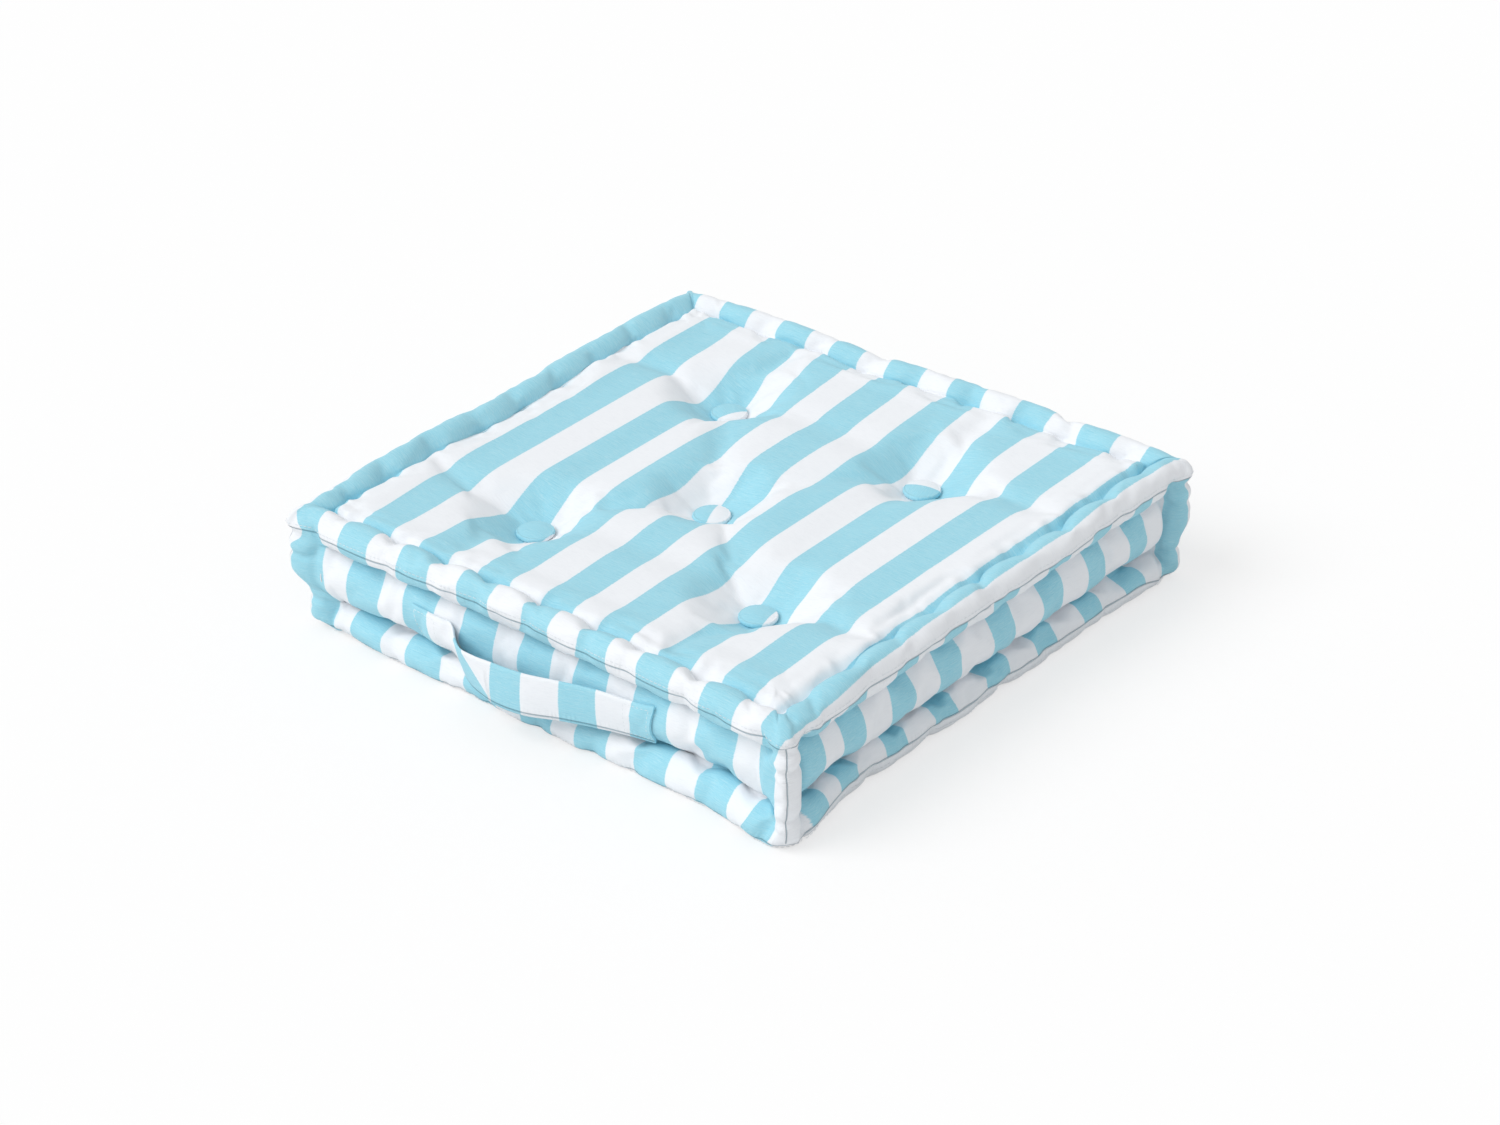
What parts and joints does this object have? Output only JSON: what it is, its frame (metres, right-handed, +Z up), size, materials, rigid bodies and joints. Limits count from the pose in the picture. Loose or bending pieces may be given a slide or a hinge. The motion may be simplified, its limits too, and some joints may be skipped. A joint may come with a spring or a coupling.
{
  "type": "tufted floor cushion",
  "caption": "Square boxed cushion of striped cotton canvas with rolled, pinch-stitched edges, covered tufting buttons on both faces and a carrying handle on one side.",
  "frame": {"origin": "on the floor, midway across the cushion and its handle together", "axes": "+Z up, X along the side that carries the handle, which faces -Y"},
  "size_m": [0.5, 0.52, 0.104],
  "materials": {
    "striped_canvas": "matte",
    "handle_canvas": "matte",
    "button_cloth": "matte",
    "button_metal": "satin",
    "fibre_filling": "matte",
    "twine": "matte",
    "sewing_thread": "satin"
  },
  "bodies": {
    "cushion": {"top_panel": "striped_canvas", "bottom_panel": "striped_canvas", "front_panel": "striped_canvas", "right_panel": "striped_canvas", "back_panel": "striped_canvas", "left_panel": "striped_canvas", "filling_core": "fibre_filling", "top_roll_filling": "fibre_filling", "bottom_roll_filling": "fibre_filling", "front_left_corner_filling": "fibre_filling", "front_right_corner_filling": "fibre_filling", "back_right_corner_filling": "fibre_filling", "back_left_corner_filling": "fibre_filling", "top_button_1_cover": "button_cloth", "top_button_1_shell": "button_metal", "top_button_1_back": "button_metal", "top_button_2_cover": "button_cloth", "top_button_2_shell": "button_metal", "top_button_2_back": "button_metal", "top_button_3_cover": "button_cloth", "top_button_3_shell": "button_metal", "top_button_3_back": "button_metal", "top_button_4_cover": "button_cloth", "top_button_4_shell": "button_metal", "top_button_4_back": "button_metal", "top_button_5_cover": "button_cloth", "top_button_5_shell": "button_metal", "top_button_5_back": "button_metal", "bottom_button_1_cover": "button_cloth", "bottom_button_1_shell": "button_metal", "bottom_button_1_back": "button_metal", "bottom_button_2_cover": "button_cloth", "bottom_button_2_shell": "button_metal", "bottom_button_2_back": "button_metal", "bottom_button_3_cover": "button_cloth", "bottom_button_3_shell": "button_metal", "bottom_button_3_back": "button_metal", "bottom_button_4_cover": "button_cloth", "bottom_button_4_shell": "button_metal", "bottom_button_4_back": "button_metal", "bottom_button_5_cover": "button_cloth", "bottom_button_5_shell": "button_metal", "bottom_button_5_back": "button_metal", "tufting_twine_1": "twine", "tufting_twine_2": "twine", "tufting_twine_3": "twine", "tufting_twine_4": "twine", "tufting_twine_5": "twine", "handle_left_end": "handle_canvas", "handle_right_end": "handle_canvas", "handle_left_stitching": "sewing_thread", "handle_right_stitching": "sewing_thread", "top_groove_stitches": "sewing_thread", "upper_wall_stitches": "sewing_thread", "lower_wall_stitches": "sewing_thread", "bottom_groove_stitches": "sewing_thread", "corner_stitches": "sewing_thread"},
    "handle": {"handle_strap": "handle_canvas"}
  },
  "joints": [
    {"name": "handle_swing", "type": "hinge", "parent": "cushion", "child": "handle", "pos_m": [-0.006, -0.2309, 0.0636], "axis": [-1, 0, 0], "range_deg": [0, 65]}
  ]
}
